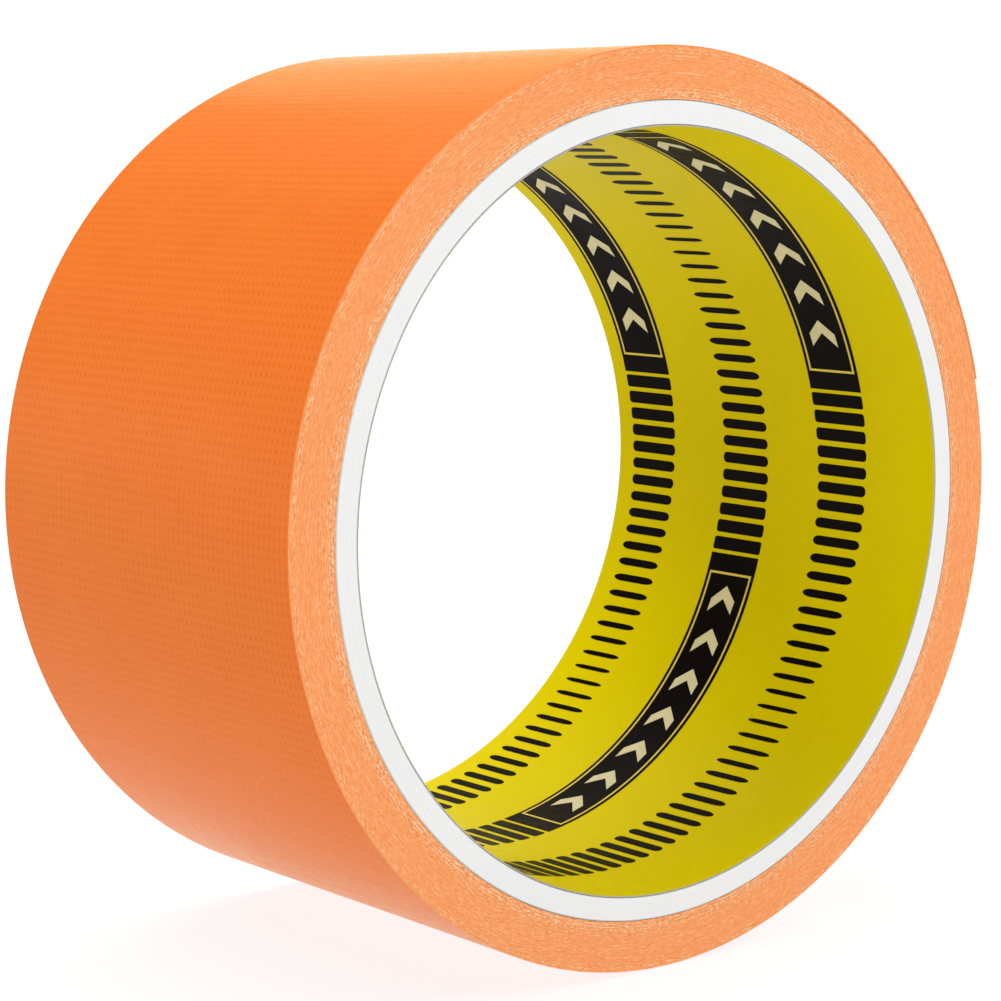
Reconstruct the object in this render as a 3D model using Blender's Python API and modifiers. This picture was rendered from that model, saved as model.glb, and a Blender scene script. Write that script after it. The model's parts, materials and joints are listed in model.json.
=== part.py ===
"""A roll of cloth tape on a paperboard core, standing on its rim.

The roll turns about the Y axis, its front end face looks along -Y, and the origin is the middle
of the bore. The core is a printed paper liner, four paperboard plies and a white outer wrap. The
tape is one long strip: its turns are one spiral winding, and its last stretch, the free end that
is peeled up with a fingernail, is a chain of short hinged segments lying on the turn below.
"""

import math

import bmesh
import bpy

# Driving dimensions, in metres
WIDTH = 0.0508
BORE_RADIUS = 0.0380
CORE_RADIUS = 0.0405
ROLL_RADIUS = 0.0458
TAPE_THICKNESS = 0.00027
LINER_THICKNESS = 0.00015
WRAP_THICKNESS = 0.0001
GLUE_THICKNESS = 0.00005

PLIES = 4
FACETS = 64
END_SEGMENTS = 5
FACETS_PER_SEGMENT = 2
PEEL_CORNER = 12  # the corner, counted from +X towards +Z, where the free end leaves the winding
SEGMENT_GAP = 0.0001

# Worked out from them
STEP = 2 * math.pi / FACETS
HALF_STEP = STEP / 2  # puts a flat facet, and not a corner, at the bottom of the roll
TURN_PITCH = TAPE_THICKNESS + GLUE_THICKNESS
PEEL_ANGLE = PEEL_CORNER * STEP + HALF_STEP
SEGMENT_ANGLE = FACETS_PER_SEGMENT * STEP
CORE_GLUE = (PLIES + 1) * GLUE_THICKNESS
CORE_WALL = CORE_RADIUS - BORE_RADIUS
PLY_THICKNESS = (CORE_WALL - LINER_THICKNESS - WRAP_THICKNESS - CORE_GLUE) / PLIES

MERGE_DISTANCE = 1e-5
SHARP_ANGLE = math.radians(30)


def clear_scene():
    for obj in list(bpy.data.objects):
        bpy.data.objects.remove(obj, do_unlink=True)


def make_material(name, color, roughness):
    material = bpy.data.materials.new(name)
    material.use_nodes = True
    shader = material.node_tree.nodes["Principled BSDF"]
    shader.inputs["Base Color"].default_value = (*color, 1)
    shader.inputs["Roughness"].default_value = roughness
    shader.inputs["Metallic"].default_value = 0
    material.diffuse_color = (*color, 1)
    return material


def make_materials():
    return {
        "tape": make_material("tape", (0.86, 0.19, 0.035), 0.4),
        "liner": make_material("liner", (0.75, 0.62, 0.005), 0.35),
        "board": make_material("board", (0.80, 0.80, 0.78), 0.9),
        "wrap": make_material("wrap", (0.88, 0.88, 0.87), 0.85),
    }


def make_roll_axis(collection):
    """The empty that the whole roll hangs on: its Z axis is the roll's axis, and points along -Y."""
    axis = bpy.data.objects.new("roll_axis", None)
    axis.rotation_euler = (math.pi / 2, 0, 0)
    collection.objects.link(axis)
    return axis


def place_on_roll(guide, turned_by, material, axis, collection):
    """Makes the guide's shape a mesh on the roll's axis, smooth round the roll, sharp at its rims."""
    name = guide.name
    collection.objects.link(guide)
    graph = bpy.context.evaluated_depsgraph_get()
    mesh = bpy.data.meshes.new_from_object(guide.evaluated_get(graph))
    bpy.data.objects.remove(guide, do_unlink=True)
    welder = bmesh.new()
    welder.from_mesh(mesh)
    bmesh.ops.remove_doubles(welder, verts=welder.verts, dist=MERGE_DISTANCE)
    welder.to_mesh(mesh)
    welder.free()
    mesh.shade_smooth()
    mesh.set_sharp_from_angle(angle=SHARP_ANGLE)
    mesh.materials.clear()
    mesh.materials.append(material)
    obj = bpy.data.objects.new(name, mesh)
    obj.parent = axis
    obj.rotation_euler.z = turned_by
    collection.objects.link(obj)


def make_tube(name, inner, outer, material, axis, collection):
    """A paper tube the full width of the roll, turned from its rectangular wall section."""
    half = WIDTH / 2
    corners = [(outer, 0, half), (outer, 0, -half), (inner, 0, -half), (inner, 0, half)]
    edges = [(0, 1), (1, 2), (2, 3), (3, 0)]
    profile = bpy.data.meshes.new(name)
    profile.from_pydata(corners, edges, [])
    tube = bpy.data.objects.new(name, profile)
    turn = tube.modifiers.new("turn", "SCREW")
    turn.axis = "Z"
    turn.angle = 2 * math.pi
    turn.steps = FACETS
    turn.render_steps = FACETS
    turn.use_merge_vertices = True
    turn.merge_threshold = MERGE_DISTANCE
    place_on_roll(tube, HALF_STEP, material, axis, collection)


def make_outline(name, loops, material, axis, collection):
    """A flat outline, with any inner loops as holes, given the full width of the roll."""
    curve = bpy.data.curves.new(name, "CURVE")
    curve.dimensions = "2D"
    curve.fill_mode = "BOTH"
    curve.extrude = WIDTH / 2
    for loop in loops:
        spline = curve.splines.new("POLY")
        spline.points.add(len(loop) - 1)
        spline.use_cyclic_u = True
        for point, (x, y) in zip(spline.points, loop):
            point.co = (x, y, 0, 1)
    place_on_roll(bpy.data.objects.new(name, curve), 0, material, axis, collection)


def on_circle(radius, angle):
    return radius * math.cos(angle), radius * math.sin(angle)


def surface_radius(turns):
    """The tape's outer surface, this many turns in from where the free end leaves the winding."""
    return ROLL_RADIUS - TURN_PITCH * turns


def make_core(materials, axis, collection):
    inner = BORE_RADIUS
    layers = [("printed_liner", LINER_THICKNESS, "liner")]
    layers += [(f"core_ply_{ply + 1}", PLY_THICKNESS, "board") for ply in range(PLIES)]
    layers += [("core_outer_wrap", WRAP_THICKNESS, "wrap")]
    for name, thickness, slot in layers:
        make_tube(name, inner, inner + thickness, materials[slot], axis, collection)
        inner += thickness + GLUE_THICKNESS


def make_winding(material, axis, collection):
    """Every turn up to the free end: a spiral outside, with one step of the tape's thickness."""
    spiral = [
        on_circle(surface_radius(corner / FACETS), PEEL_ANGLE + corner * STEP)
        for corner in range(FACETS + 1)
    ]
    hole = [
        on_circle(CORE_RADIUS + GLUE_THICKNESS, HALF_STEP + corner * STEP)
        for corner in range(FACETS)
    ]
    make_outline("tape_winding", [spiral, hole], material, axis, collection)


def make_end_segment(index, material, axis, collection):
    """One hinged stretch of the free end. Its hinge line is the outer corner nearest the winding."""
    trim = SEGMENT_GAP / (2 * ROLL_RADIUS)
    start = index * SEGMENT_ANGLE
    beyond = [start + corner * STEP for corner in range(FACETS_PER_SEGMENT + 1)]
    beyond[0] += trim
    beyond[-1] -= trim
    outside = []
    inside = []
    for angle in beyond:
        radius = surface_radius(-angle / (2 * math.pi))
        outside.append(on_circle(radius, PEEL_ANGLE - angle))
        inside.append(on_circle(radius - TAPE_THICKNESS, PEEL_ANGLE - angle))
    outline = outside + inside[::-1]
    make_outline(f"tape_end_{index + 1}", [outline], material, axis, collection)


def main():
    clear_scene()
    collection = bpy.data.collections.new("tape_roll")
    bpy.context.scene.collection.children.link(collection)
    materials = make_materials()
    axis = make_roll_axis(collection)
    make_core(materials, axis, collection)
    make_winding(materials["tape"], axis, collection)
    for index in range(END_SEGMENTS):
        make_end_segment(index, materials["tape"], axis, collection)


main()
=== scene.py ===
"""Looks of a roll of cloth tape on a printed paperboard core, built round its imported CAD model.

The roll's axis is Y and its front end face looks along -Y. Angles are measured from +X towards
+Z. The tape is one spiral: it is wound from the free end inwards, and the free end itself lies
on the last turn, clockwise of the peel line where it leaves the winding.
"""

import json
import math

import bmesh
import bpy
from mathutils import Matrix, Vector

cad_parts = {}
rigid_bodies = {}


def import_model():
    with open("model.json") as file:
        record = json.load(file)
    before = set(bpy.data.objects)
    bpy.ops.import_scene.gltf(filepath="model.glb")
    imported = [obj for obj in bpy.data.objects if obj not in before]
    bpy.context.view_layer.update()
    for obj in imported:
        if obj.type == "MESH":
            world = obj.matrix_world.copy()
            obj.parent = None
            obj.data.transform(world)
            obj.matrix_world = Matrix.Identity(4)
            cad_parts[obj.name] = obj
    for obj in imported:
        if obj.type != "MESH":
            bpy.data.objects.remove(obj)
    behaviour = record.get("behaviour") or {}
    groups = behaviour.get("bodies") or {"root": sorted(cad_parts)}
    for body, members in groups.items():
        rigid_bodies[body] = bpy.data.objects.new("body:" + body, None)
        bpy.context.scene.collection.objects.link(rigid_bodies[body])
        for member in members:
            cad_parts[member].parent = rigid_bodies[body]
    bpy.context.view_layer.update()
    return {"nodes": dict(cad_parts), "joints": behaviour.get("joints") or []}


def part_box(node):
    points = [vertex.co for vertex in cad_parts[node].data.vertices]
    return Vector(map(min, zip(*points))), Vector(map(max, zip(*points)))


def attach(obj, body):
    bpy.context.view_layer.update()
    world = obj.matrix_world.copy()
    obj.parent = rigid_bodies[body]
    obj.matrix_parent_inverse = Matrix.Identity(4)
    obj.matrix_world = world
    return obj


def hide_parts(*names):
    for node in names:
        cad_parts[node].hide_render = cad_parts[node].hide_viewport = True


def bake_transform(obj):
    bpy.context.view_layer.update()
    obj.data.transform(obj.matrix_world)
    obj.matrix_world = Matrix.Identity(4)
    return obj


for startup_object in list(bpy.data.objects):
    bpy.data.objects.remove(startup_object, do_unlink=True)
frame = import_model()

MM = 0.001
TAU = 2 * math.pi


def node_radii(name):
    """The smallest and largest distance of a CAD node's corners from the roll's axis."""
    distances = [math.hypot(v.co.x, v.co.z) for v in frame["nodes"][name].data.vertices]
    return min(distances), max(distances)


def joint_angle(name):
    """Where round the roll a hinge of the free end lies."""
    joint = next(joint for joint in frame["joints"] if joint["name"] == name)
    x, _, z = joint["pos_m"]
    return math.atan2(z, x)


# Sizes taken from the frame
HALF_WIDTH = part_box("tape_winding")[1].y
TAPE_INNER, ROLL_RADIUS = node_radii("tape_winding")
LINER_INNER, LINER_OUTER = node_radii("printed_liner")
PEEL_ANGLE = joint_angle("tape_peel")
SEGMENT_ANGLE = PEEL_ANGLE - joint_angle("tape_curl_2")
END_SEGMENTS = sum(name.startswith("tape_end_") for name in frame["nodes"])

# Sizes of the tape, which the CAD model shares
TAPE_THICKNESS = 0.27 * MM
TURN_PITCH = 0.32 * MM

# The edges of the turns, on the end faces
EDGE_ROUNDING = 0.04 * MM
GROOVE_DEPTH = 0.025 * MM  # between one turn and the next
EDGE_WANDER = 0.04 * MM  # the furthest that the flat of a turn's edge stands back
TURN_SECTION = (0.0, 0.14, 0.5, 0.84)  # the corners of a turn's edge, as shares of the pitch
INSIDE_MARGIN = 0.002 * MM  # a turn that comes this near to the winding's inside ends there
FILM, EDGE, STICKY = range(3)  # the material slots of every piece of tape

# The free end, which is made in one stretch for each of its hinges
FIRST_STRETCH_PIECES = 16  # lengthwise
STRETCH_PIECES = 24  # lengthwise, in each of the others

# The weave under the tape's film
WEFT_PITCH = 0.97 * MM
WARP_PITCH = 0.83 * MM
YARN_WANDER = 1.6  # how far the yarns stray sideways, in radians of their pitch
YARN_WANDER_LENGTH = 2.5 * MM
WEFT_SHARPNESS = 1.2  # of the hollows, seen along the tape
WARP_SHARPNESS = 2.0  # and across it
PRESS_SIZE = 5 * MM  # of the patches where the film is pressed in more or less
WEAKEST_PRESS = 0.6

# The film's relief: its depth, and each part's share of it
FILM_RELIEF = 0.02 * MM
RIB_RELIEF = -0.35
HOLLOW_RELIEF = -0.4
GRAIN_RELIEF = 0.1
GRAIN_SIZE = 0.35 * MM
WRINKLE_RELIEF = 2.5
WRINKLE_SIZE = 2.4 * MM
WRINKLE_SQUEEZE = 0.1  # of the distance across the tape, which draws the wrinkles out that way

# The ends of the core's layers, which stand back unevenly so that each one shows
PLY_ROUNDING = 0.012 * MM
PLY_SET_BACKS = (0.006 * MM, 0.0, 0.004 * MM, 0.002 * MM)
WRAP_SET_BACK = 0.06 * MM
LINER_SET_BACK = 0.05 * MM

# Paper: the size of its fibres, and the liner's soft waves, which the ink on it shares
FIBRE_SIZE = 0.2 * MM
WAVE_SIZE = 11 * MM
WAVE_HEIGHT = 0.15 * MM

# The liner's print: three bands, each a row of bars between panels
BAND_CENTRES = (19.3 * MM, 3.6 * MM, -11.7 * MM)
BAND_WIDTH = 7.7 * MM
PANEL_CENTRES = (47, -49, 47)  # degrees
PANEL_PERIOD = 180  # degrees
PANEL_LENGTH = 66  # degrees
PANEL_GAP = 0.25  # degrees, between a panel and where the first bar could start
BAR_PITCH = 3  # degrees
THICK_BAR = 2.3  # degrees
THIN_BAR = 0.78  # degrees
SHORTEST_BAR = 0.8  # of the band's width
MOST_TAPER = 0.5  # of the bars halfway between two panels
QUARTER_POINTS = 6  # on each quarter of a bar's outline
KEYLINE_WIDTH = 0.27 * MM
KEYLINE_INSET = 0.45 * MM
PANEL_END_BLOCK = 3.2  # degrees
CHEVRONS = 7
CHEVRON_HEIGHT = 3.8 * MM
FIRST_TIP = 0.9  # from the keyline's start, as a share of the chevrons' pitch
TIP_LENGTH = 0.32  # of the pitch
CHEVRON_THICKNESS = 0.3  # of the pitch
PRINT_STEP = 1.5  # degrees, the longest flat stretch of the print
INK_LIFT = 0.012 * MM
INK_THICKNESS = 0.008 * MM
CREAM, GOLD = range(2)  # the material slots of the marks on the panels

STEPS = 256  # round the roll
STEP = TAU / STEPS
SHARP_ANGLE = math.radians(35)
WELD_DISTANCE = 0.0005 * MM
SHORTEST_EDGE = 0.0002 * MM

# Colours, as linear red, green and blue
DEEP_FILM = (0.77, 0.166, 0.022)
BRIGHT_FILM = (0.80, 0.184, 0.026)
FILM_HOLLOW = (0.64, 0.095, 0.010)
FILM_AT_RIM = (0.86, 0.20, 0.03)
EDGE_ORANGE = (0.88, 0.27, 0.080)
PALE_EDGE = (0.97, 0.44, 0.170)
EDGE_BLOTCH = (0.93, 0.29, 0.085)
EDGE_GAP = (0.66, 0.15, 0.03)
LOOSE_COTTON = (1.0, 0.78, 0.50)
COTTON_THREAD = (1.0, 0.72, 0.45)
ADHESIVE = (0.80, 0.42, 0.20)
PALE_ADHESIVE = (0.90, 0.60, 0.38)
LINER_YELLOW = (0.72, 0.60, 0.0003)
BRIGHT_YELLOW = (0.77, 0.635, 0.0006)
# The liner's cut edge is painted grey: painted shade for the thin shadow line along the liner's end
PALE_CUT_PAINTED_SHADE, DULL_CUT_PAINTED_SHADE = (0.46, 0.45, 0.36), (0.36, 0.35, 0.27)
PALE_BOARD, DULL_BOARD = (0.83, 0.83, 0.83), (0.80, 0.80, 0.80)
# The wrap's grey-green is painted shade: its thin ring on the end faces stands for the shaded gap
# between the core and the tape
PALE_WRAP_PAINTED_SHADE, DULL_WRAP_PAINTED_SHADE = (0.70, 0.74, 0.70), (0.60, 0.65, 0.60)
BLACK_INK = (0.007, 0.005, 0.005)
CREAM_INK = (0.80, 0.74, 0.50)
GOLD_INK = (0.85, 0.68, 0.14)
FLOOR_GREY = (0.15, 0.15, 0.15)
WHITE = (1, 1, 1)
WARM_WHITE = (1, 0.88, 0.52)

NOISE_RANGE = (0.3, 0.7)  # where most of a noise texture's values lie

# The studio's light, where 1 is the least that shows as pure white
FLOOR_GLOW = 0.86  # near the roll
FLOOR_FADE = (0.5, 1.6)  # metres from the roll, over which the glow rises to the backdrop's
FLOOR_REACH = 30  # metres, from the middle to each side
BACKDROP_LIGHT = 1.03
CEILING_LIGHT = 0.05
BACKDROP_TOP = (0.14, 0.24)  # where it fades into the ceiling's light, as the sine of the elevation
SOFTBOX_DISTANCE = 1.4
SOFTBOXES = (  # name, azimuth and elevation in degrees, size in metres, power in watts, colour
    ("front_left_softbox", -35, 50, 0.9, 8.4, WHITE),
    ("front_right_softbox", 35, 30, 0.9, 4.9, WHITE),
    ("right_softbox", 90, 40, 0.9, 10.0, WHITE),
    ("high_back_softbox", -165, 72, 0.9, 12.8, WHITE),
    ("high_back_right_softbox", 160, 58, 0.9, 4.0, WHITE),
    ("low_left_softbox", -100, 10, 0.9, 3.1, WARM_WHITE),
    ("low_back_left_softbox", -145, 10, 0.9, 0.7, WARM_WHITE),
    ("low_back_right_softbox", 140, 18, 0.86, 2.1, WARM_WHITE),
)

# The camera: millimetres for the lens and sensor, then degrees, then metres
LENS = 102.2
SENSOR = 36
CAMERA_AZIMUTH = -38.9
CAMERA_ELEVATION = 7.2
CAMERA_DISTANCE = 0.2995
CAMERA_SHIFT_RIGHT = -0.00082
CAMERA_SHIFT_UP = -0.00105
CAMERA_REACH = (0.01, 100)


# ------------------------------------------------------------------------------ mesh building
def on_roll(radius, angle, y):
    return (radius * math.cos(angle), y, radius * math.sin(angle))


class Surface:
    """Collects faces as corners of (position, uv), welds them and makes the object."""

    def __init__(self, name, materials):
        self.name = name
        self.materials = materials
        self.points = []
        self.faces = []
        self.uvs = []
        self.slots = []

    def add(self, corners, slot=0):
        first = len(self.points)
        self.points += [position for position, _ in corners]
        self.faces.append(range(first, first + len(corners)))
        self.uvs += [uv for _, uv in corners]
        self.slots.append(slot)

    def make(self):
        mesh = bpy.data.meshes.new(self.name)
        mesh.from_pydata(self.points, [], self.faces)
        layer = mesh.uv_layers.new(name="strip")
        layer.data.foreach_set("uv", [number for uv in self.uvs for number in uv])
        mesh.polygons.foreach_set("material_index", self.slots)
        for material in self.materials:
            mesh.materials.append(material)
        welder = bmesh.new()
        welder.from_mesh(mesh)
        bmesh.ops.remove_doubles(welder, verts=welder.verts, dist=WELD_DISTANCE)
        bmesh.ops.dissolve_degenerate(welder, edges=welder.edges, dist=SHORTEST_EDGE)
        bmesh.ops.recalc_face_normals(welder, faces=welder.faces)
        welder.to_mesh(mesh)
        welder.free()
        mesh.shade_smooth()
        mesh.set_sharp_from_angle(angle=SHARP_ANGLE)
        obj = bpy.data.objects.new(self.name, mesh)
        bpy.context.scene.collection.objects.link(obj)
        return obj


def revolve(name, profile, materials, slots):
    """A closed (radius, y) profile turned round the roll's axis. Slots name each side's material."""
    surface = Surface(name, materials)
    run = 0.0
    for index, (radius, y) in enumerate(profile):
        next_radius, next_y = profile[(index + 1) % len(profile)]
        length = math.hypot(next_radius - radius, next_y - y)
        for step in range(STEPS):
            angles = (step * STEP, (step + 1) * STEP)
            arcs = [angle * radius for angle in angles]
            surface.add(
                [
                    (on_roll(radius, angles[0], y), (arcs[0], run)),
                    (on_roll(radius, angles[1], y), (arcs[1], run)),
                    (on_roll(next_radius, angles[1], next_y), (arcs[1], run + length)),
                    (on_roll(next_radius, angles[0], next_y), (arcs[0], run + length)),
                ],
                slots[index],
            )
        run += length
    return surface.make()


# ---------------------------------------------------------------------------------- materials
def new_material(name, roughness, specular=0.5):
    material = bpy.data.materials.new(name)
    material.use_nodes = True
    shader = material.node_tree.nodes["Principled BSDF"]
    shader.inputs["Roughness"].default_value = roughness
    shader.inputs["Specular IOR Level"].default_value = specular
    return material


class Nodes:
    """Short calls for the node tree of one material."""

    def __init__(self, material):
        self.tree = material.node_tree
        self.shader = self.tree.nodes["Principled BSDF"]

    def link(self, value, socket):
        if isinstance(value, bpy.types.NodeSocket):
            self.tree.links.new(value, socket)
        else:
            socket.default_value = value

    def math(self, operation, *values):
        node = self.tree.nodes.new("ShaderNodeMath")
        node.operation = operation
        for value, socket in zip(values, node.inputs):
            self.link(value, socket)
        return node.outputs[0]

    def strip(self):
        """Metres along the tape and across it, or round a tube and along its wall."""
        source = self.tree.nodes.new("ShaderNodeUVMap")
        source.uv_map = "strip"
        split = self.tree.nodes.new("ShaderNodeSeparateXYZ")
        self.tree.links.new(source.outputs[0], split.inputs[0])
        return split.outputs[0], split.outputs[1]

    def distance(self, x, y):
        squares = [self.math("MULTIPLY", value, value) for value in (x, y)]
        return self.math("SQRT", self.math("ADD", *squares))

    def vector(self, x, y, z=0.0):
        node = self.tree.nodes.new("ShaderNodeCombineXYZ")
        for value, socket in zip((x, y, z), node.inputs):
            self.link(value, socket)
        return node.outputs[0]

    def position(self):
        return self.tree.nodes.new("ShaderNodeTexCoord").outputs["Object"]

    def noise(self, vector, size, detail=2.0, roughness=0.5):
        """Soft random values between 0 and 1 whose blotches are about this many metres across."""
        node = self.tree.nodes.new("ShaderNodeTexNoise")
        self.tree.links.new(vector, node.inputs["Vector"])
        node.inputs["Scale"].default_value = 1 / size
        node.inputs["Detail"].default_value = detail
        node.inputs["Roughness"].default_value = roughness
        return node.outputs["Fac"]

    def remap(self, value, low, high, to_low=0.0, to_high=1.0):
        node = self.tree.nodes.new("ShaderNodeMapRange")
        node.interpolation_type = "SMOOTHSTEP"
        for number, socket in zip((value, low, high, to_low, to_high), node.inputs):
            self.link(number, socket)
        return node.outputs[0]

    def mix(self, factor, first, second):
        node = self.tree.nodes.new("ShaderNodeMix")
        node.data_type = "RGBA"
        self.link(factor, node.inputs["Factor"])
        for color, socket in zip((first, second), (node.inputs["A"], node.inputs["B"])):
            self.link((*color, 1) if isinstance(color, tuple) else color, socket)
        return node.outputs["Result"]

    def bump(self, height, distance):
        node = self.tree.nodes.new("ShaderNodeBump")
        node.inputs["Distance"].default_value = distance
        node.inputs["Strength"].default_value = 1
        self.tree.links.new(height, node.inputs["Height"])
        self.tree.links.new(node.outputs[0], self.shader.inputs["Normal"])

    def color(self, value):
        self.link(value, self.shader.inputs["Base Color"])

    def roughness(self, value):
        self.link(value, self.shader.inputs["Roughness"])


def weave(nodes, along, across):
    """1 in the small hollows between the yarns and 0 on them, and the ribs of the weft."""
    place = nodes.vector(along, across)
    wander = nodes.math("SUBTRACT", nodes.noise(place, YARN_WANDER_LENGTH), 0.5)
    weft = nodes.math("MULTIPLY", along, TAU / WEFT_PITCH)
    weft = nodes.math("ADD", weft, nodes.math("MULTIPLY", wander, YARN_WANDER))
    warp = nodes.math("MULTIPLY", across, TAU / WARP_PITCH)
    warp = nodes.math("ADD", warp, nodes.math("MULTIPLY", wander, -YARN_WANDER))
    between_weft = nodes.math("MULTIPLY_ADD", nodes.math("COSINE", weft), 0.5, 0.5)
    between_warp = nodes.math("MULTIPLY_ADD", nodes.math("COSINE", warp), 0.5, 0.5)
    hollows = nodes.math(
        "MULTIPLY",
        nodes.math("POWER", between_weft, WEFT_SHARPNESS),
        nodes.math("POWER", between_warp, WARP_SHARPNESS),
    )
    press = nodes.remap(nodes.noise(place, PRESS_SIZE), *NOISE_RANGE, WEAKEST_PRESS, 1.0)
    return nodes.math("MULTIPLY", hollows, press), between_weft


def tape_film_material():
    """The tape's outside: a glossy orange film pressed onto a cotton scrim."""
    material = new_material("tape_film", 0.25, specular=0.05)
    nodes = Nodes(material)
    nodes.shader.inputs["Specular Tint"].default_value = (1.0, 1.0, 0.45, 1)
    nodes.shader.inputs["Sheen Weight"].default_value = 0.25
    nodes.shader.inputs["Sheen Roughness"].default_value = 0.4
    nodes.shader.inputs["Sheen Tint"].default_value = (1.0, 0.6, 0.15, 1)
    along, across = nodes.strip()
    place = nodes.vector(along, across)
    hollows, ribs = weave(nodes, along, across)
    base = nodes.mix(nodes.noise(place, 9 * MM, detail=3), DEEP_FILM, BRIGHT_FILM)
    nodes.color(nodes.mix(nodes.math("MULTIPLY", hollows, 0.6), base, FILM_HOLLOW))
    nodes.roughness(nodes.remap(nodes.noise(place, 1.2 * MM), *NOISE_RANGE, 0.22, 0.30))
    height = nodes.math("MULTIPLY", hollows, HOLLOW_RELIEF)
    height = nodes.math("MULTIPLY_ADD", ribs, RIB_RELIEF, height)
    height = nodes.math("MULTIPLY_ADD", nodes.noise(place, GRAIN_SIZE), GRAIN_RELIEF, height)
    squeezed = nodes.vector(along, nodes.math("MULTIPLY", across, WRINKLE_SQUEEZE))
    wrinkles = nodes.noise(squeezed, WRINKLE_SIZE, detail=1)
    height = nodes.math("MULTIPLY_ADD", wrinkles, WRINKLE_RELIEF, height)
    nodes.bump(height, FILM_RELIEF)
    return material


def tape_edge_material():
    """The cut edge of the turns: film, cotton and adhesive pressed together, paler than the film.

    Loose cotton stands out in pale flecks next to the core and in a thin ring near the rim.
    """
    material = new_material("tape_edge", 0.6, specular=0.2)
    nodes = Nodes(material)
    along, inwards = nodes.strip()

    def streaked(squeeze, size, detail=2, roughness=0.6):
        """Noise drawn out along the tape by squeezing the distance along it."""
        place = nodes.vector(nodes.math("MULTIPLY", along, squeeze), inwards)
        return nodes.noise(place, size, detail, roughness)

    long_streaks = streaked(0.03, 0.2 * MM, roughness=0.5)
    streaks = streaked(0.2, 0.17 * MM, detail=3)
    flecks = streaked(0.35, 0.17 * MM)
    blotches = nodes.noise(nodes.vector(along, inwards), 3 * MM)
    next_to_core = nodes.remap(inwards, 3.5 * MM, 4.6 * MM)
    under_rim = nodes.math(
        "MULTIPLY",
        nodes.remap(inwards, 0.25 * MM, 0.4 * MM),
        nodes.remap(inwards, 0.9 * MM, 0.7 * MM),
    )
    loose = nodes.math("MAXIMUM", next_to_core, nodes.math("MULTIPLY", under_rim, 0.7))
    loose = nodes.math("MULTIPLY", loose, nodes.remap(blotches, 0.3, 0.6, 0.35, 1))
    place_in_turn = nodes.math(
        "SUBTRACT",
        nodes.math("MULTIPLY", inwards, TAU / TURN_PITCH),
        nodes.math("DIVIDE", along, ROLL_RADIUS),
    )
    seams = nodes.math("MULTIPLY_ADD", nodes.math("COSINE", place_in_turn), 0.5, 0.5)
    pale = nodes.math("MULTIPLY_ADD", nodes.math("MULTIPLY", loose, seams), 0.26, flecks)
    dark = nodes.math("MULTIPLY_ADD", loose, -0.05, flecks)
    base = nodes.mix(nodes.remap(streaks, 0.35, 0.68), EDGE_ORANGE, PALE_EDGE)
    for share, color in (
        (nodes.remap(blotches, 0.35, 0.7, 0, 0.5), EDGE_BLOTCH),
        (nodes.remap(pale, 0.62, 0.76, 0, 0.8), LOOSE_COTTON),
        (nodes.remap(long_streaks, 0.64, 0.74, 0, 0.45), COTTON_THREAD),
        (nodes.remap(dark, 0.40, 0.28, 0, 0.7), EDGE_GAP),
        (nodes.remap(inwards, 0.22 * MM, 0.05 * MM, 0, 0.8), FILM_AT_RIM),
    ):
        base = nodes.mix(share, base, color)
    nodes.color(base)
    nodes.bump(nodes.math("ADD", nodes.math("ADD", streaks, flecks), loose), 0.03 * MM)
    return material


def adhesive_material():
    """The sticky side of the free end, where the scrim shows through the pale adhesive."""
    material = new_material("tape_adhesive", 0.35)
    nodes = Nodes(material)
    along, across = nodes.strip()
    hollows, ribs = weave(nodes, along, across)
    nodes.color(nodes.mix(hollows, ADHESIVE, PALE_ADHESIVE))
    nodes.bump(nodes.math("ADD", hollows, ribs), 0.03 * MM)
    return material


def liner_material():
    """Yellow coated paper."""
    material = new_material("liner_paper", 0.35, specular=0.03)
    nodes = Nodes(material)
    nodes.shader.inputs["Specular Tint"].default_value = (1.0, 0.85, 0.1, 1)
    place = nodes.position()
    nodes.color(nodes.mix(nodes.noise(place, 14 * MM, detail=3), LINER_YELLOW, BRIGHT_YELLOW))
    nodes.roughness(nodes.remap(nodes.noise(place, 1.5 * MM), *NOISE_RANGE, 0.32, 0.42))
    nodes.bump(nodes.noise(place, WAVE_SIZE, detail=1), WAVE_HEIGHT)
    return material


def paper_material(name, pale, dull):
    """Uncoated board or paper: matt and mottled, with fine fibres."""
    material = new_material(name, 0.85, specular=0.2)
    nodes = Nodes(material)
    place = nodes.position()
    fibres = nodes.noise(place, FIBRE_SIZE, detail=4, roughness=0.6)
    clouds = nodes.noise(place, 6 * MM)
    shade = nodes.math("MULTIPLY_ADD", clouds, 0.35, nodes.math("MULTIPLY", fibres, 0.65))
    nodes.color(nodes.mix(nodes.remap(shade, *NOISE_RANGE), dull, pale))
    nodes.bump(fibres, 0.02 * MM)
    return material


def ink_material(name, color, roughness):
    """Ink that is a little darker in places, and that follows the liner's waves."""
    material = new_material(name, roughness, specular=0.02)
    nodes = Nodes(material)
    place = nodes.position()
    darker = tuple(0.8 * part for part in color)
    nodes.color(nodes.mix(nodes.noise(place, 1.5 * MM), color, darker))
    smoothest, roughest = roughness - 0.04, roughness + 0.06
    nodes.roughness(nodes.remap(nodes.noise(place, 2 * MM), *NOISE_RANGE, smoothest, roughest))
    nodes.bump(nodes.noise(place, WAVE_SIZE, detail=1), WAVE_HEIGHT)
    return material


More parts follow.
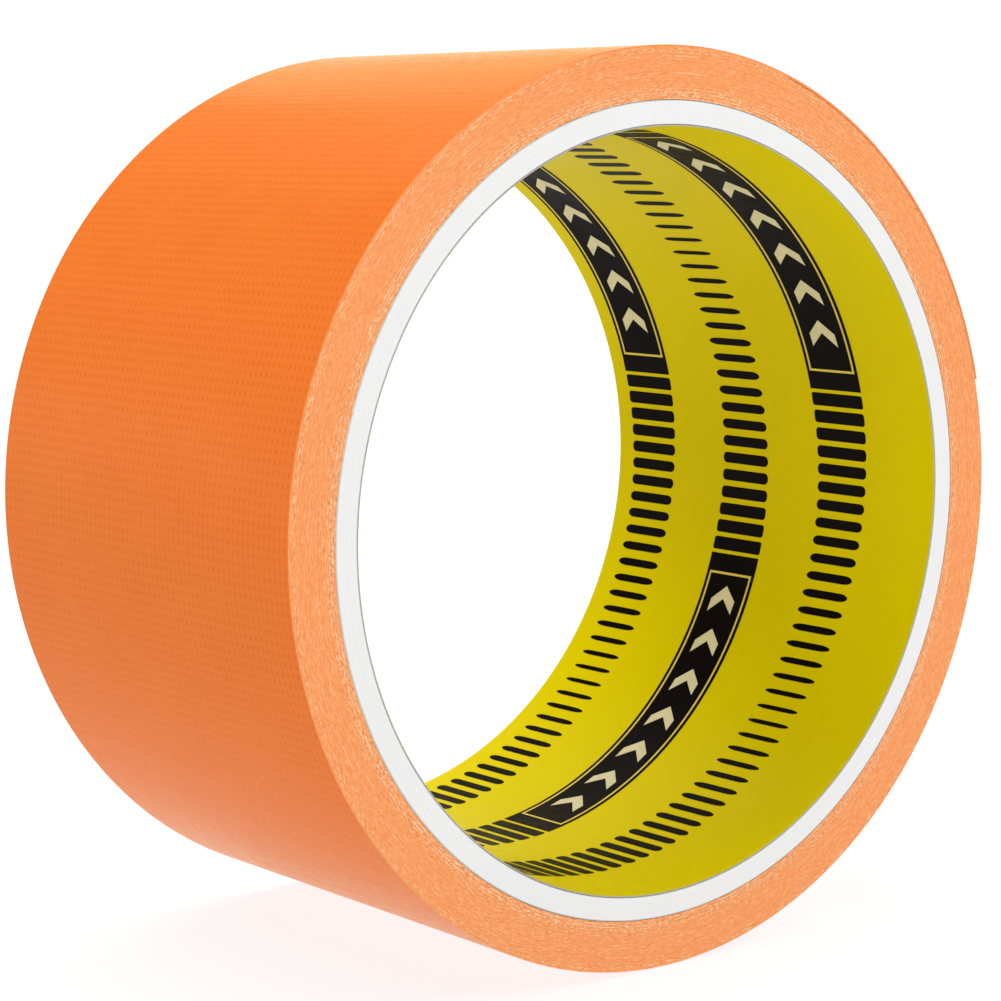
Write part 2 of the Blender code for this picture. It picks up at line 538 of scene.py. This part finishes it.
def floor_material():
    """A floor that glows white into the backdrop, so dark itself that shadows on it stay faint."""
    material = new_material("studio_floor", 0.9, specular=0.1)
    nodes = Nodes(material)
    split = nodes.tree.nodes.new("ShaderNodeSeparateXYZ")
    nodes.tree.links.new(nodes.position(), split.inputs[0])
    x, y = split.outputs[0], split.outputs[1]
    glow = nodes.remap(nodes.distance(x, y), *FLOOR_FADE, FLOOR_GLOW, BACKDROP_LIGHT)
    nodes.link(glow, nodes.shader.inputs["Emission Strength"])
    nodes.shader.inputs["Emission Color"].default_value = (*WHITE, 1)
    nodes.color((*FLOOR_GREY, 1))
    return material


# ----------------------------------------------------------------------------------- the core
def make_core():
    board = paper_material("core_board", PALE_BOARD, DULL_BOARD)
    # painted shade: the wrap's grey-green draws the shaded gap between the core and the tape
    wrap = paper_material("core_wrap", PALE_WRAP_PAINTED_SHADE, DULL_WRAP_PAINTED_SHADE)
    names = [f"core_ply_{number + 1}" for number in range(len(PLY_SET_BACKS))]
    inner_radii = [node_radii(name)[0] for name in names + ["core_outer_wrap"]]
    for number, name in enumerate(names):
        inner, outer = inner_radii[number], inner_radii[number + 1]
        end = HALF_WIDTH - PLY_SET_BACKS[number]
        profile = [
            (inner, -end + PLY_ROUNDING),
            (inner + PLY_ROUNDING, -end),
            (outer - PLY_ROUNDING, -end),
            (outer, -end + PLY_ROUNDING),
            (outer, end - PLY_ROUNDING),
            (outer - PLY_ROUNDING, end),
            (inner + PLY_ROUNDING, end),
            (inner, end - PLY_ROUNDING),
        ]
        ply = revolve(f"board_ply_{number + 1}", profile, [board], [0] * len(profile))
        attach(ply, "roll")
        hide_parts(name)
    inner, outer = node_radii("core_outer_wrap")
    end = HALF_WIDTH - WRAP_SET_BACK
    profile = [(inner, -end), (outer, -end), (outer, end), (inner, end)]
    band = revolve("board_wrap", profile, [wrap], [0] * len(profile))
    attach(band, "roll")
    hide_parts("core_outer_wrap")


def make_liner():
    paper = liner_material()
    # painted shade: the cut edge's grey draws the thin shadow line along the liner's end
    edge = paper_material("liner_edge", PALE_CUT_PAINTED_SHADE, DULL_CUT_PAINTED_SHADE)
    end = HALF_WIDTH - LINER_SET_BACK
    profile = [(LINER_INNER, end), (LINER_INNER, -end), (LINER_OUTER, -end), (LINER_OUTER, end)]
    liner = revolve("liner_sheet", profile, [paper, edge], [0, 1, 1, 1])
    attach(liner, "roll")
    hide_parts("printed_liner")


# ---------------------------------------------------------------------------- the liner's print
def add_print(surface, outline):
    """Adds one closed outline of (degrees, y) points to the print as a thin raised film."""
    layers = []
    for depth in (INK_LIFT, INK_LIFT + INK_THICKNESS):
        radius = LINER_INNER - depth
        layer = []
        for degrees, y in outline:
            angle = math.radians(degrees)
            layer.append((on_roll(radius, angle, y), (angle * radius, y)))
        surface.add(layer)
        layers.append(layer)
    low, high = layers
    for index in range(len(outline)):
        after = (index + 1) % len(outline)
        surface.add([low[index], low[after], high[after], high[index]])


def add_print_strip(surface, start, end, low, high):
    """A rectangle of the print, in pieces short enough to follow the bore."""
    pieces = max(1, round((end - start) / PRINT_STEP))
    edges = [start + (end - start) * piece / pieces for piece in range(pieces + 1)]
    for first, second in zip(edges, edges[1:]):
        add_print(surface, [(first, low), (second, low), (second, high), (first, high)])


def bar_outline(middle, y, thickness, length, roundness, taper):
    """A bar across the band. Roundness 0 is a rectangle and 1 a capsule; taper 1 is a lens."""
    high = roundness * thickness / 2
    thickness_in_metres = math.radians(thickness) * LINER_INNER
    long = max(roundness * thickness_in_metres, taper * length) / 2
    points = []
    for quarter, (side, end) in enumerate(((1, 1), (1, -1), (-1, -1), (-1, 1))):
        for part in range(QUARTER_POINTS):
            turn = math.radians(90 * part / (QUARTER_POINTS - 1))
            if quarter % 2 == 0:
                turn = math.pi / 2 - turn
            points.append(
                (
                    middle + side * (thickness / 2 - high + high * math.cos(turn)),
                    y + end * (length / 2 - long + long * math.sin(turn)),
                )
            )
    return points


def bar_shape(near_panel):
    """Thickness, length, roundness and taper of a bar, from 1 next to a panel to 0 halfway."""
    thickness = THIN_BAR + (THICK_BAR - THIN_BAR) * near_panel
    length = BAND_WIDTH * (SHORTEST_BAR + (1 - SHORTEST_BAR) * near_panel**0.8)
    roundness = min(1, 0.3 + 2.4 * (1 - near_panel))
    taper = min(1, max(0, (0.85 - near_panel) / 0.6)) * MOST_TAPER
    return thickness, length, roundness, taper


def make_print():
    black = ink_material("ink_black", BLACK_INK, 0.33)
    cream = ink_material("ink_cream", CREAM_INK, 0.4)
    gold = ink_material("ink_gold", GOLD_INK, 0.4)
    ink = Surface("liner_ink", [black])
    marks = Surface("liner_marks", [cream, gold])
    bars = round((PANEL_PERIOD - PANEL_LENGTH) / BAR_PITCH)
    for y, panel_centre in zip(BAND_CENTRES, PANEL_CENTRES):
        for repeat in range(round(360 / PANEL_PERIOD)):
            centre = panel_centre + repeat * PANEL_PERIOD
            make_panel(ink, marks, centre, y)
            for bar in range(bars):
                middle = centre + PANEL_LENGTH / 2 + (bar + 0.5) * BAR_PITCH
                near_panel = abs(2 * (bar + 0.5) / bars - 1)
                add_print(ink, bar_outline(middle, y, *bar_shape(near_panel)))
    for piece in (ink.make(), marks.make()):
        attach(piece, "roll")


def make_panel(ink, marks, centre, y):
    """A black panel, with a keyline round a row of chevrons."""
    low, high = y - BAND_WIDTH / 2, y + BAND_WIDTH / 2
    half_length = PANEL_LENGTH / 2 - PANEL_GAP
    start, end = centre - half_length, centre + half_length
    add_print_strip(ink, start, end, low, high)
    keyline = Lifted(marks, GOLD)
    key_low, key_high = low + KEYLINE_INSET, high - KEYLINE_INSET
    key_start, key_end = start + PANEL_END_BLOCK, end - PANEL_END_BLOCK
    key_degrees = math.degrees(KEYLINE_WIDTH / LINER_INNER)
    add_print_strip(keyline, key_start, key_end, key_low, key_low + KEYLINE_WIDTH)
    add_print_strip(keyline, key_start, key_end, key_high - KEYLINE_WIDTH, key_high)
    add_print_strip(keyline, key_start, key_start + key_degrees, key_low, key_high)
    add_print_strip(keyline, key_end - key_degrees, key_end, key_low, key_high)
    chevrons = Lifted(marks, CREAM)
    pitch = (key_end - key_start) / (CHEVRONS + 0.5)
    for number in range(CHEVRONS):
        tip = key_start + (number + FIRST_TIP) * pitch
        back, thick = tip - TIP_LENGTH * pitch, CHEVRON_THICKNESS * pitch
        for reach in (CHEVRON_HEIGHT / 2, -CHEVRON_HEIGHT / 2):
            outline = [(tip, y), (back, y + reach), (back + thick, y + reach), (tip + thick, y)]
            add_print(chevrons, outline)


class Lifted:
    """Adds faces to a surface a little nearer the axis, so that they lie on the ink below them."""

    def __init__(self, surface, slot):
        self.surface = surface
        self.slot = slot

    def add(self, corners):
        lifted = []
        for (x, y, z), uv in corners:
            shrink = 1 - (INK_LIFT + INK_THICKNESS) / math.hypot(x, z)
            lifted.append(((x * shrink, y, z * shrink), uv))
        self.surface.add(lifted, self.slot)


# ----------------------------------------------------------------------------------- the tape
def edge_stand_back(step):
    """How far a turn's edge stands back from the end face, changing slowly along the tape."""
    turn = step / STEPS
    swing = (
        math.sin(turn * 4.1 + 0.7)
        + 0.6 * math.sin(turn * 11.3 + 2.1)
        + 0.35 * math.sin(turn * 29.0)
    )
    return EDGE_WANDER * (0.5 + swing / 4)


def make_winding(film, edge, inside):
    """Every turn of the tape up to the peel line, with each turn's edge on both end faces."""
    surface = Surface("tape_turns", [film, edge, inside])
    last = int((ROLL_RADIUS - TAPE_INNER) / TURN_PITCH * STEPS)
    inmost = len(TURN_SECTION)

    def corner(step, index, side):
        """Corner of the section of the turn that starts at this step, on one end face."""
        if index == inmost:
            return corner(step + STEPS, 0, side)
        radius = ROLL_RADIUS - TURN_PITCH * (step / STEPS + TURN_SECTION[index])
        angle = PEEL_ANGLE + step * STEP
        if radius <= TAPE_INNER + INSIDE_MARGIN:
            radius, depth = TAPE_INNER, GROOVE_DEPTH
        elif index:
            depth = edge_stand_back(step)
        elif step < STEPS:
            depth = edge_stand_back(step) + EDGE_ROUNDING
        else:
            depth = GROOVE_DEPTH + edge_stand_back(step) / 2
        position = on_roll(radius, angle, side * (HALF_WIDTH - depth))
        return position, (step * STEP * ROLL_RADIUS, ROLL_RADIUS - radius)

    for side in (-1, 1):
        for step in range(last):
            for index in range(inmost):
                surface.add(
                    [
                        corner(step, index, side),
                        corner(step + 1, index, side),
                        corner(step + 1, index + 1, side),
                        corner(step, index + 1, side),
                    ],
                    EDGE,
                )
    for step in range(STEPS):
        surface.add(
            [
                across_tape(corner(step, 0, -1)),
                across_tape(corner(step + 1, 0, -1)),
                across_tape(corner(step + 1, 0, 1)),
                across_tape(corner(step, 0, 1)),
            ],
            FILM,
        )
    for step in range(last - STEPS, last):
        surface.add(
            [
                corner(step, inmost, -1),
                corner(step + 1, inmost, -1),
                corner(step + 1, inmost, 1),
                corner(step, inmost, 1),
            ],
            STICKY,
        )
    front = [corner(0, index, -1) for index in range(inmost + 1)]
    back = [corner(0, index, 1) for index in range(inmost + 1)]
    surface.add(front + back[::-1], EDGE)
    roll = surface.make()
    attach(roll, "roll")
    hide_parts("tape_winding")


def across_tape(corner):
    """The same corner with its place on the film, along the tape and across it."""
    position, (along, _) = corner
    return position, (along, position[1])


def make_free_end(number, film, edge, adhesive):
    """The stretch of the free end over one hinge, from mid-segment to mid-segment."""
    hinge = (number - 1) * SEGMENT_ANGLE
    begin = 0 if number == 1 else hinge - SEGMENT_ANGLE / 2
    finish = hinge + SEGMENT_ANGLE * (1 if number == END_SEGMENTS else 0.5)
    pieces = FIRST_STRETCH_PIECES if number == 1 else STRETCH_PIECES
    surface = Surface(f"free_end_{number}", [film, edge, adhesive])
    stations = [begin + (finish - begin) * piece / pieces for piece in range(pieces + 1)]
    stand_back = edge_stand_back(0)
    wide, narrow = HALF_WIDTH - stand_back, HALF_WIDTH - stand_back - EDGE_ROUNDING
    section = [  # depth below the film, y, and the material from here to the next corner
        (0, narrow, FILM),
        (0, -narrow, EDGE),
        (EDGE_ROUNDING, -wide, EDGE),
        (TAPE_THICKNESS - EDGE_ROUNDING, -wide, EDGE),
        (TAPE_THICKNESS, -narrow, STICKY),
        (TAPE_THICKNESS, narrow, EDGE),
        (TAPE_THICKNESS - EDGE_ROUNDING, wide, EDGE),
        (EDGE_ROUNDING, wide, EDGE),
    ]

    def corner(offset, index):
        """Corner of the section this many radians past the peel line."""
        depth, y, _ = section[index % len(section)]
        radius = ROLL_RADIUS + TURN_PITCH * offset / TAU - depth
        across = y if abs(y) == narrow else depth
        return on_roll(radius, PEEL_ANGLE - offset, y), (-offset * ROLL_RADIUS, across)

    for first, second in zip(stations, stations[1:]):
        for index, (_, _, slot) in enumerate(section):
            surface.add(
                [
                    corner(first, index),
                    corner(second, index),
                    corner(second, index + 1),
                    corner(first, index + 1),
                ],
                slot,
            )
    for offset in (begin, finish):
        surface.add([corner(offset, index) for index in range(len(section))], EDGE)
    piece = surface.make()
    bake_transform(piece)
    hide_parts(f"tape_end_{number}")


# ---------------------------------------------------------------------------------- the studio
def direction_to(azimuth, elevation):
    """From the roll, in degrees: azimuth 0 is the front, 90 is +X and 180 is the back."""
    azimuth, elevation = math.radians(azimuth), math.radians(elevation)
    level = math.cos(elevation)
    return Vector((math.sin(azimuth) * level, -math.cos(azimuth) * level, math.sin(elevation)))


def make_camera():
    back = direction_to(CAMERA_AZIMUTH, CAMERA_ELEVATION)
    right = direction_to(CAMERA_AZIMUTH + 90, 0)
    up = back.cross(right)
    data = bpy.data.cameras.new("camera")
    data.lens = LENS
    data.sensor_width = SENSOR
    data.clip_start, data.clip_end = CAMERA_REACH
    camera = bpy.data.objects.new("camera", data)
    camera.location = back * CAMERA_DISTANCE + right * CAMERA_SHIFT_RIGHT + up * CAMERA_SHIFT_UP
    camera.rotation_mode = "QUATERNION"
    camera.rotation_quaternion = (-back).to_track_quat("-Z", "Y")
    bpy.context.scene.collection.objects.link(camera)
    bpy.context.scene.camera = camera


def make_floor():
    corners = [
        (x * FLOOR_REACH, y * FLOOR_REACH, -ROLL_RADIUS)
        for x, y in ((-1, -1), (1, -1), (1, 1), (-1, 1))
    ]
    mesh = bpy.data.meshes.new("studio_floor")
    mesh.from_pydata(corners, [], [(0, 1, 2, 3)])
    mesh.materials.append(floor_material())
    floor = bpy.data.objects.new("studio_floor", mesh)
    bpy.context.scene.collection.objects.link(floor)


def make_world():
    """A studio that is bright round the horizon and dim above it."""
    world = bpy.data.worlds.new("studio")
    bpy.context.scene.world = world
    world.use_nodes = True
    tree = world.node_tree
    direction = tree.nodes.new("ShaderNodeTexCoord")
    height = tree.nodes.new("ShaderNodeSeparateXYZ")
    strength = tree.nodes.new("ShaderNodeMapRange")
    fade = (*BACKDROP_TOP, BACKDROP_LIGHT, CEILING_LIGHT)
    for value, socket in zip(fade, list(strength.inputs)[1:]):
        socket.default_value = value
    tree.links.new(direction.outputs["Generated"], height.inputs[0])
    tree.links.new(height.outputs["Z"], strength.inputs[0])
    tree.links.new(strength.outputs[0], tree.nodes["Background"].inputs["Strength"])
    tree.nodes["Background"].inputs["Color"].default_value = (*WHITE, 1)


def make_light(name, azimuth, elevation, size, power, color):
    """A square softbox that faces the roll."""
    away = direction_to(azimuth, elevation)
    data = bpy.data.lights.new(name, "AREA")
    data.size = size
    data.energy = power
    data.color = color
    light = bpy.data.objects.new(name, data)
    light.location = away * SOFTBOX_DISTANCE
    light.rotation_mode = "QUATERNION"
    light.rotation_quaternion = away.to_track_quat("Z", "Y")
    bpy.context.scene.collection.objects.link(light)


def make_studio():
    make_camera()
    make_floor()
    make_world()
    for softbox in SOFTBOXES:
        make_light(*softbox)
    bpy.context.scene.view_settings.view_transform = "Standard"
    bpy.context.scene.view_settings.look = "None"


make_studio()
make_core()
make_liner()
make_print()
tape_film, tape_edge, tape_adhesive = tape_film_material(), tape_edge_material(), adhesive_material()
make_winding(tape_film, tape_edge, tape_adhesive)
for end_number in range(1, END_SEGMENTS + 1):
    make_free_end(end_number, tape_film, tape_edge, tape_adhesive)
